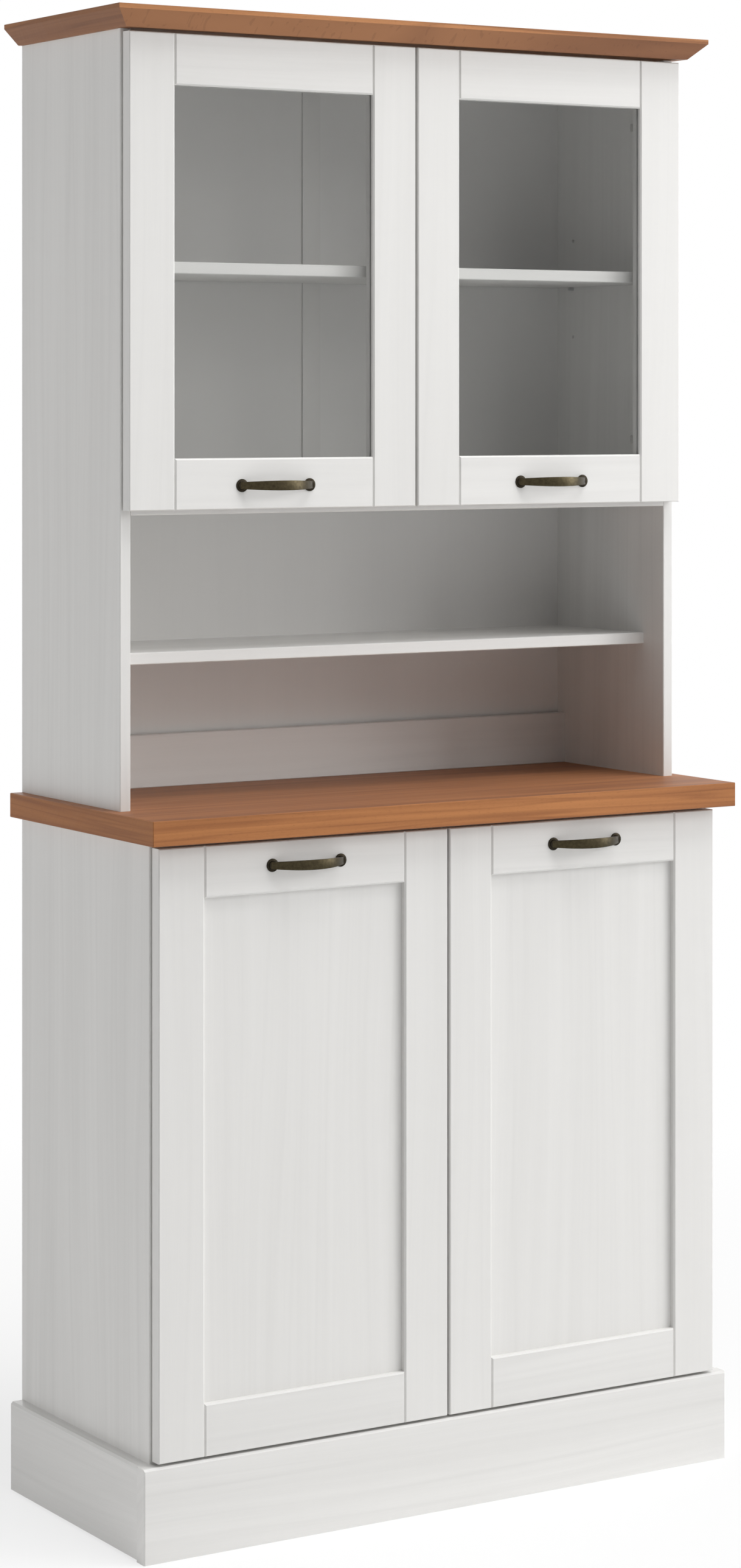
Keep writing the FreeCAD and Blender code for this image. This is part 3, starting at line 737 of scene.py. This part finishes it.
def round_edges(mesh: bmesh.types.BMesh, radius: float, segments: int, least_turn: float) -> None:
    """Rounds every edge sharper than a turn.

    Args:
        mesh: The bmesh.
        radius: Width of the rounding along each face.
        segments: Faces across the rounding.
        least_turn: Smallest angle between faces that counts as an edge, in radians.
    """
    edges = [
        edge for edge in mesh.edges if edge.is_manifold and edge.calc_face_angle() > least_turn
    ]
    bmesh.ops.bevel(
        mesh,
        geom=edges,
        offset=radius,
        offset_type="OFFSET",
        segments=segments,
        profile=0.5,
        affect="EDGES",
        clamp_overlap=True,
        material=-1,
    )


def turned(mesh: bmesh.types.BMesh, profile: Iterable[tuple[float, float]], steps: int) -> list[Any]:
    """Turns a profile about the Z axis into a closed body.

    Args:
        mesh: The bmesh that gets the body.
        profile: Radius and height of each corner, from the axis or to it.
        steps: Faces round the axis.

    Returns:
        The vertices of the body.
    """
    before = set(mesh.verts)
    line = [mesh.verts.new((radius, 0.0, height)) for radius, height in profile]
    edges = [mesh.edges.new(pair) for pair in zip(line, line[1:])]
    bmesh.ops.spin(
        mesh,
        geom=line + edges,
        cent=(0.0, 0.0, 0.0),
        axis=(0.0, 0.0, 1.0),
        dvec=(0.0, 0.0, 0.0),
        angle=2 * math.pi,
        steps=steps,
        use_merge=True,
        use_duplicate=False,
    )
    new = [vert for vert in mesh.verts if vert not in before]
    bmesh.ops.remove_doubles(mesh, verts=new, dist=MERGE_DISTANCE)
    return [vert for vert in mesh.verts if vert not in before]


@dataclass
class BowHandle:
    """Bow handle: a bent strap, widest in its middle, on two stepped rosettes."""

    span: float = 106 * MM
    projection: float = 26 * MM
    strap_thickness: float = 3 * MM
    middle_height: float = 13.4 * MM
    end_height: float = 9.2 * MM
    foot_out: float = 3.5 * MM
    rosette_radius: float = 8.9 * MM
    rosette_height: float = 3 * MM
    edge_radius: float = 0.55 * MM
    edge_segments: int = 3
    edge_turn: float = math.radians(40)
    turn_to_spare: float = 1.06
    strap_steps: int = 56
    rosette_steps: int = 48

    def _strap(self, mesh: bmesh.types.BMesh) -> None:
        """Sweeps the strap's section round its bend, cuts its feet and tapers it.

        Args:
            mesh: Empty bmesh that gets the strap.
        """
        half = self.span / 2 + self.foot_out
        rise = self.projection - self.rosette_height
        radius = (half ** 2 + rise ** 2) / (2 * rise)
        centre = Vector((0.0, radius - self.projection, 0.0))
        turn = math.asin(half / radius) * self.turn_to_spare
        tall = self.middle_height / 2
        start = Matrix.Rotation(-turn, 3, "Z")
        corners = []
        for out, up in ((0, -1), (0, 1), (1, 1), (1, -1)):
            arm = Vector((0.0, -(radius - out * self.strap_thickness), up * tall))
            corners.append(mesh.verts.new(centre + start @ arm))
        section = mesh.faces.new(corners)
        bmesh.ops.spin(
            mesh,
            geom=[section, *section.edges, *section.verts],
            cent=centre,
            axis=(0.0, 0.0, 1.0),
            dvec=(0.0, 0.0, 0.0),
            angle=2 * turn,
            steps=self.strap_steps,
            use_merge=False,
            use_duplicate=False,
        )
        geom = [*mesh.verts, *mesh.edges, *mesh.faces]
        foot = (0.0, -self.rosette_height, 0.0)
        bmesh.ops.bisect_plane(
            mesh,
            geom=geom,
            dist=CUT_TOLERANCE,
            plane_co=foot,
            plane_no=(0, 1, 0),
            clear_outer=True,
        )
        bmesh.ops.holes_fill(mesh, edges=[e for e in mesh.edges if e.is_boundary], sides=0)
        for vert in mesh.verts:
            drop = (1 - self.end_height / self.middle_height) * (vert.co.x / half) ** 2
            vert.co.z *= 1 - drop
        round_edges(mesh, self.edge_radius, self.edge_segments, self.edge_turn)

    def _rosette(self, mesh: bmesh.types.BMesh, x: float) -> None:
        """Turns one stepped rosette, whose faces take the piece's second finish.

        Args:
            mesh: The bmesh that gets the rosette.
            x: Its place along the handle.
        """
        rim = self.rosette_radius
        top = self.rosette_height
        profile = [
            (0.0, 0.0),
            (rim, 0.0),
            (rim, 0.8 * MM),
            (rim - 0.25 * MM, 1.25 * MM),
            (rim - 0.8 * MM, 1.5 * MM),
            (rim - 2.2 * MM, 1.45 * MM),
            (rim - 2.6 * MM, 1.6 * MM),
            (rim - 2.75 * MM, top - 0.4 * MM),
            (rim - 3.1 * MM, top),
            (0.0, top),
        ]
        verts = turned(mesh, profile, self.rosette_steps)
        place = Matrix.Translation((x, 0.0, 0.0)) @ Matrix.Rotation(math.pi / 2, 4, "X")
        bmesh.ops.transform(mesh, matrix=place, verts=verts)
        for face in {face for vert in verts for face in vert.link_faces}:
            face.material_index = 1

    def build(self) -> bmesh.types.BMesh:
        """Builds the handle.

        Returns:
            Its bmesh, with the door's front face at Y = 0 and the handle's middle at the origin.
        """
        mesh = bmesh.new()
        self._strap(mesh)
        for x in (-self.span / 2, self.span / 2):
            self._rosette(mesh, x)
        return mesh


@dataclass
class CrossScrew:
    """Screw head with a cross recess, standing on the plane Z = 0 and facing +Z."""

    radius: float = 3.6 * MM
    height: float = 1.6 * MM
    arm: float = 1.9 * MM
    slot: float = 0.55 * MM
    recess: float = 1.1 * MM
    recess_taper: float = 0.55
    crown_share: float = 0.86
    edge_share: float = 0.45

    def add(self, mesh: bmesh.types.BMesh, place: Matrix) -> None:
        """Adds one head to a bmesh.

        Args:
            mesh: The bmesh.
            place: Matrix that sets the head in its place.
        """
        before = set(mesh.verts)
        grid = bmesh.ops.create_grid(mesh, x_segments=3, y_segments=3, size=self.arm)["verts"]
        for vert in grid:
            for axis in (0, 1):
                if abs(vert.co[axis]) < 0.5 * self.arm:
                    vert.co[axis] = math.copysign(self.slot, vert.co[axis])
            vert.co.z = self.height
        faces = {face for vert in grid for face in vert.link_faces}
        cross = [
            face
            for face in faces
            if min(abs(face.calc_center_median().x), abs(face.calc_center_median().y)) < self.slot
        ]
        rim = [edge for edge in mesh.edges if edge.is_boundary and edge.verts[0] in grid]
        sunk = bmesh.ops.extrude_face_region(mesh, geom=cross)["geom"]
        floor = [item for item in sunk if isinstance(item, bmesh.types.BMVert)]
        narrow = Matrix.Diagonal((self.recess_taper, self.recess_taper, 1.0, 1.0))
        sink = Matrix.Translation((0.0, 0.0, -self.recess))
        bmesh.ops.transform(mesh, matrix=sink @ narrow, verts=floor)
        ring = self._skirt(mesh, rim, self.crown_share * self.radius, self.height)
        ring = self._skirt(mesh, ring, self.radius, self.edge_share * self.height)
        self._skirt(mesh, ring, self.radius, 0.0)
        new = [vert for vert in mesh.verts if vert not in before]
        bmesh.ops.transform(mesh, matrix=place, verts=new)

    @staticmethod
    def _skirt(mesh: bmesh.types.BMesh, rim: list[Any], radius: float, height: float) -> list[Any]:
        """Extrudes a rim of edges out to a circle.

        Args:
            mesh: The bmesh.
            rim: Edges of the rim.
            radius: Radius of the circle.
            height: Its height above the plane that the head stands on.

        Returns:
            The new edges.
        """
        grown = bmesh.ops.extrude_edge_only(mesh, edges=rim)["geom"]
        for vert in (item for item in grown if isinstance(item, bmesh.types.BMVert)):
            flat = Vector((vert.co.x, vert.co.y, 0.0)).normalized() * radius
            vert.co = flat + Vector((0.0, 0.0, height))
        return [item for item in grown if isinstance(item, bmesh.types.BMEdge)]


def facing(direction: Point, place: Sequence[float]) -> Matrix:
    """Matrix that turns +Z to a direction and moves the origin to a place."""
    turn = Vector(direction).to_track_quat("Z", "Y").to_matrix().to_4x4()
    return Matrix.Translation(place) @ turn


@dataclass
class Door:
    """One door: frame of two stiles and two rails, its pane or panel, handle and hinge cups."""

    shop: Workshop
    tier: Tier
    side: Side
    hinge_from_end: float = 90 * MM
    screw_from_hinge: float = 24 * MM
    cup_across: float = 20.5 * MM
    cup_flange: float = 1 * MM
    plate_across: float = 14.6 * MM
    plate_behind: float = 41 * MM
    plate_screw_from_hinge: float = 16 * MM
    arm_across: float = 27 * MM
    arm_screws_behind: tuple[float, float] = (31 * MM, 52 * MM)
    screw: CrossScrew = field(default_factory=CrossScrew)

    @property
    def key(self) -> str:
        """Start of the names of this door's nodes."""
        return f"{self.tier.value}_{self.side.name.lower()}"

    @property
    def body(self) -> str:
        """CAD body of the door."""
        return f"{self.key}_door"

    def dress(self) -> None:
        """Gives the frame, the sheet and the hinge pieces their finishes."""
        shop = self.shop
        shop.dress(STILE_PAINT, f"{self.key}_stile_outer", f"{self.key}_stile_inner")
        shop.dress(CROSS_PAINT, f"{self.key}_rail_bottom", f"{self.key}_rail_top")
        if self.tier is Tier.UPPER:
            shop.dress(GLASS, f"{self.key}_glass")
        else:
            shop.dress(PANEL_PAINT, f"{self.key}_panel")
        shop.dress(NICKEL, f"{self.key}_hinge_cups", f"{self.key}_hinge_links")

    def handle(self) -> None:
        """Builds the bow handle in place of the plain one."""
        low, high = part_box(f"{self.key}_handle")
        mesh = BowHandle().build()
        place = Matrix.Translation(((low.x + high.x) / 2, high.y, (low.z + high.z) / 2))
        bmesh.ops.transform(mesh, matrix=place, verts=mesh.verts)
        made = self.shop.piece(f"{self.key}_bow_handle", mesh, BRONZE, self.body)
        made.data.materials.append(self.shop.material(DARK_BRONZE))
        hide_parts(f"{self.key}_handle")

    def _hinges(self) -> tuple[float, float, list[float]]:
        """Finds the hinges by the outer stile.

        Returns:
            X of the hinged edge, Y of the door's back, and the heights of the hinges.
        """
        low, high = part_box(f"{self.key}_stile_outer")
        hinged_edge = low.x if self.side is Side.LEFT else high.x
        heights = [low.z + self.hinge_from_end, high.z - self.hinge_from_end]
        return hinged_edge, high.y, heights

    def door_screws(self) -> None:
        """Adds the screws of the hinge cups and of the handle on the door's back."""
        hinged_edge, back, heights = self._hinges()
        x = hinged_edge - self.side.value * self.cup_across
        mesh = bmesh.new()
        for z in heights:
            for up in (-1, 1):
                place = (x, back + self.cup_flange, z + up * self.screw_from_hinge)
                self.screw.add(mesh, facing((0, 1, 0), place))
        self.shop.piece(f"{self.key}_cup_screws", mesh, NICKEL, self.body)
        handle_low, handle_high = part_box(f"{self.key}_handle")
        middle = (handle_low + handle_high) / 2
        mesh = bmesh.new()
        for out in (-1, 1):
            place = (middle.x + out * BowHandle.span / 2, back, middle.z)
            self.screw.add(mesh, facing((0, 1, 0), place))
        self.shop.piece(f"{self.key}_handle_screws", mesh, ZINC, self.body)

    def mount_screws(self) -> None:
        """Adds the screws of the hinges' mounting plates and arms on the side board."""
        hinged_edge, back, heights = self._hinges()
        inward = (-self.side.value, 0, 0)
        mesh = bmesh.new()
        for z in heights:
            x = hinged_edge - self.side.value * self.plate_across
            for up in (-1, 1):
                place = (x, back + self.plate_behind, z + up * self.plate_screw_from_hinge)
                self.screw.add(mesh, facing(inward, place))
            x = hinged_edge - self.side.value * self.arm_across
            for behind in self.arm_screws_behind:
                self.screw.add(mesh, facing(inward, (x, back + behind, z)))
        self.shop.piece(f"{self.key}_mount_screws", mesh, NICKEL, FIXED_BODY)

    def build(self) -> None:
        """Dresses the door and adds its fittings."""
        self.dress()
        self.handle()
        self.door_screws()
        self.mount_screws()


@dataclass
class Turning:
    """Small round fitting turned about the Z axis, standing on the plane Z = 0.

    Its profile gives the radius and height of each corner in millimetres.
    """

    profile: tuple[tuple[float, float], ...]
    steps: int

    def add(self, mesh: bmesh.types.BMesh, place: Matrix) -> None:
        """Adds one copy to a bmesh.

        Args:
            mesh: The bmesh.
            place: Matrix that sets the fitting in its place.
        """
        corners = [(radius * MM, height * MM) for radius, height in self.profile]
        bmesh.ops.transform(mesh, matrix=place, verts=turned(mesh, corners, self.steps))


NAIL = Turning(((0, 0), (1.5, 0), (1.5, 0.25), (1.2, 0.6), (0.6, 0.8), (0, 0.85)), 10)
COVER_CAP = Turning(
    ((0, 0), (8.6, 0), (8.6, 0.35), (8.2, 0.8), (6.8, 1.15), (3.5, 1.4), (0, 1.45)), 32
)


@dataclass
class Carcass:
    """Boards, shelves, backs, plinth and the two cherry boards."""

    NAILED: ClassVar[tuple[str, ...]] = ("base_floor", "base_rail_rear", "open_shelf")
    CAPPED_BELOW: ClassVar[tuple[str, ...]] = (
        "base_floor",
        "base_rail_front",
        "base_rail_rear",
        "open_shelf",
        "hutch_floor",
    )

    shop: Workshop
    nail_pitch: float = 165 * MM
    nail_reach: float = 412 * MM
    nail_stagger: float = 0.15
    nail_from_joint: float = 4 * MM
    cap_from_top: float = 34 * MM
    cap_from_front: float = 115 * MM
    cap_from_rear: float = 95 * MM
    cap_from_side: float = 34 * MM
    cap_shares: tuple[float, float] = (0.25, 0.75)

    def back_nails(self) -> None:
        """Nails the back sheets to the fixed boards in front of them."""
        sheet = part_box("hutch_back_sheet_lower")[1]
        heights = [sum(corner.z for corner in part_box(name)) / 2 for name in self.NAILED]
        heights += [sheet.z - self.nail_from_joint, sheet.z + self.nail_from_joint]
        count = int(self.nail_reach / self.nail_pitch)
        mesh = bmesh.new()
        for z in heights:
            for step in range(-count, count + 1):
                x = (step + self.nail_stagger) * self.nail_pitch
                NAIL.add(mesh, facing((0, 1, 0), (x, sheet.y, z)))
        self.shop.piece("back_nails", mesh, ZINC, FIXED_BODY)

    def cover_caps(self) -> None:
        """Caps the fittings that hold the boards together, in the base and below the boards."""
        mesh = bmesh.new()
        for side in Side:
            low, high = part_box(f"base_side_{side.name.lower()}")
            x = high.x if side is Side.LEFT else low.x
            z = high.z - self.cap_from_top
            for y in (low.y + self.cap_from_front, high.y - self.cap_from_rear):
                COVER_CAP.add(mesh, facing((-side.value, 0, 0), (x, y, z)))
        for name in self.CAPPED_BELOW:
            low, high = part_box(name)
            for x in (low.x + self.cap_from_side, high.x - self.cap_from_side):
                for share in self.cap_shares:
                    y = low.y + share * (high.y - low.y)
                    COVER_CAP.add(mesh, facing((0, 0, -1), (x, y, low.z)))
        self.shop.piece("cover_caps", mesh, CAP_PLASTIC, FIXED_BODY)

    def dress(self) -> None:
        """Gives every fixed node its finish."""
        shop = self.shop
        shop.dress(
            UPRIGHT_PAINT, "base_side_left", "base_side_right", "hutch_side_left", "hutch_side_right"
        )
        shop.dress(
            CROSS_PAINT,
            "base_floor",
            "base_shelf",
            "base_rail_front",
            "base_rail_rear",
            "hutch_back_rail",
            "open_shelf",
            "hutch_floor",
            "glazed_shelf",
        )
        shop.dress(PLINTH_PAINT, "plinth_front", "plinth_rear_rail")
        shop.dress(DEEP_PAINT, "plinth_side_left", "plinth_side_right")
        shop.dress(
            SHEET_PAINT,
            "base_back_sheet",
            "hutch_back_sheet_lower",
            "hutch_back_sheet_left",
            "hutch_back_sheet_right",
        )
        shop.dress(WORKTOP_CHERRY, "worktop")
        shop.dress(CORNICE_CHERRY, "cornice_board")
        shop.dress(STRIP_PLASTIC, "back_joint_strip")
        shop.dress(GLIDE_PLASTIC, "floor_glides")
        shop.dress(ZINC, "shelf_pins")
        shop.dress(BUMPER_PLASTIC, "door_bumpers")
        shop.dress(NICKEL, "hinge_arms", "hinge_plates")

    def build(self) -> None:
        """Dresses the fixed boards and adds their fittings."""
        self.dress()
        self.back_nails()
        self.cover_caps()


@dataclass(frozen=True)
class Lamp:
    """Soft square lamp aimed at the cabinet's middle."""

    name: str
    place: Point
    size: float
    watts: float
    aim: Point = (0.0, 0.0, 1.1)

    def build(self) -> None:
        """Hangs the lamp."""
        light = bpy.data.lights.new(self.name, "AREA")
        light.shape = "SQUARE"
        light.size = self.size
        light.energy = self.watts
        made = put(self.name, light)
        made.location = self.place
        direction = Vector(self.aim) - Vector(self.place)
        made.rotation_euler = direction.to_track_quat("-Z", "Y").to_euler()


@dataclass
class Studio:
    """White floor, lamps, plain light all round, and the camera.

    The lens and the sensor are in millimetres, and the yaw is in degrees to the viewer's right.
    """

    ambient: float = 0.15
    floor_radius: float = 9.0
    floor_paint: Colour = (0.9, 0.9, 0.9)
    shadow_share: float = 0.35
    shadow_reach: float = 2.5
    lens: float = 85.21
    sensor: float = 36.0
    eye: Point = (-2.7623, -4.4472, 1.5168)
    yaw: float = 31.73
    lens_shift: float = -0.2442
    lamps: tuple[Lamp, ...] = (
        Lamp("key_lamp", (6.6, -5.4, 5.2), 3.0, 124.0),
        Lamp("high_lamp", (5.0, -4.0, 8.0), 4.0, 142.0),
        Lamp("near_lamp", (4.3, -3.2, 2.7), 2.2, 42.0),
        Lamp("front_lamp", (5.6, -8.0, 2.2), 4.4, 29.0),
        Lamp("middle_lamp", (2.6, -7.5, 5.5), 4.0, 76.0),
        Lamp("right_lamp", (8.9, -4.4, 2.0), 4.4, 248.0),
        Lamp("top_lamp", (0.6, -2.4, 8.5), 4.0, 324.0),
        Lamp("left_lamp", (-8.8, 2.8, 0.8), 4.8, 321.0),
        Lamp("back_lamp", (1.5, 8.5, 2.6), 4.0, 150.0),
    )

    @staticmethod
    def _seen(bench: Bench) -> Wire:
        """Tells what the eye sees from what lights the cabinet.

        Args:
            bench: Bench of the background or the floor.

        Returns:
            One for rays from the camera, off gloss or through glass, else zero.
        """
        paths = [
            bench.node("ShaderNodeLightPath", out=name)
            for name in ("Is Camera Ray", "Is Glossy Ray", "Is Transmission Ray")
        ]
        return paths[0].maths("MAXIMUM", paths[1]).maths("MAXIMUM", paths[2])

    def world(self) -> None:
        """Makes the background white to the eye and the room's light plain."""
        world = bpy.data.worlds.new("studio_world")
        world.use_nodes = True
        bench = Bench(world.node_tree)
        seen = self._seen(bench)
        room = bench.node("ShaderNodeBackground", {}, {"Color": WHITE, "Strength": self.ambient})
        backdrop = bench.node("ShaderNodeBackground", {}, {"Color": WHITE, "Strength": 1.0})
        bench.end(
            bench.node("ShaderNodeMixShader", {}, {0: seen, 1: room, 2: backdrop}),
            "ShaderNodeOutputWorld",
        )
        bpy.context.scene.world = world

    def floor(self) -> None:
        """Lays a white floor that keeps the cabinet's shadow near it."""
        mesh = bmesh.new()
        bmesh.ops.create_circle(mesh, cap_ends=True, radius=self.floor_radius, segments=64)
        data = mesh_of("studio_floor", mesh)
        material, bench = blank("white_floor")
        lengths = {"operation": "LENGTH"}
        away = bench.node("ShaderNodeVectorMath", lengths, {0: bench.place()}, out="Value")
        near = bench.node(
            "ShaderNodeValToRGB",
            {"stops": [(0.0, 1.0), (1.0, 0.0)]},
            {0: away * (1 / self.shadow_reach)},
        )
        paint = bench.node("ShaderNodeBsdfDiffuse", {}, {"Color": (*self.floor_paint, 1.0)})
        glow = bench.node("ShaderNodeEmission", {}, {"Color": WHITE, "Strength": 1.0})
        share = self._seen(bench) * (1 - self.shadow_share * near)
        bench.end(bench.node("ShaderNodeMixShader", {}, {0: share, 1: paint, 2: glow}))
        data.materials.append(material)
        made = put("studio_floor", data)
        made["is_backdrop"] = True

    def camera(self) -> None:
        """Sets the level camera whose lens is shifted down, as for a tall piece of furniture."""
        lens = bpy.data.cameras.new("camera")
        lens.lens = self.lens
        lens.sensor_width = self.sensor
        lens.shift_y = self.lens_shift
        made = put("camera", lens)
        made.location = self.eye
        made.rotation_euler = (math.pi / 2, 0.0, -math.radians(self.yaw))
        bpy.context.scene.camera = made

    def build(self) -> None:
        """Sets up the whole studio."""
        bpy.context.scene.view_settings.view_transform = "Standard"
        self.world()
        self.floor()
        self.camera()
        for lamp in self.lamps:
            lamp.build()


def main() -> None:
    """Builds the cabinet and its studio."""
    logging.basicConfig(level=logging.INFO, format="%(message)s")
    for name in START_OBJECTS:
        if name in bpy.data.objects:
            bpy.data.objects.remove(bpy.data.objects[name])
    shop = Workshop()
    Carcass(shop).build()
    for tier in Tier:
        for side in Side:
            Door(shop, tier, side).build()
    Studio().build()


if __name__ == "__main__":
    main()
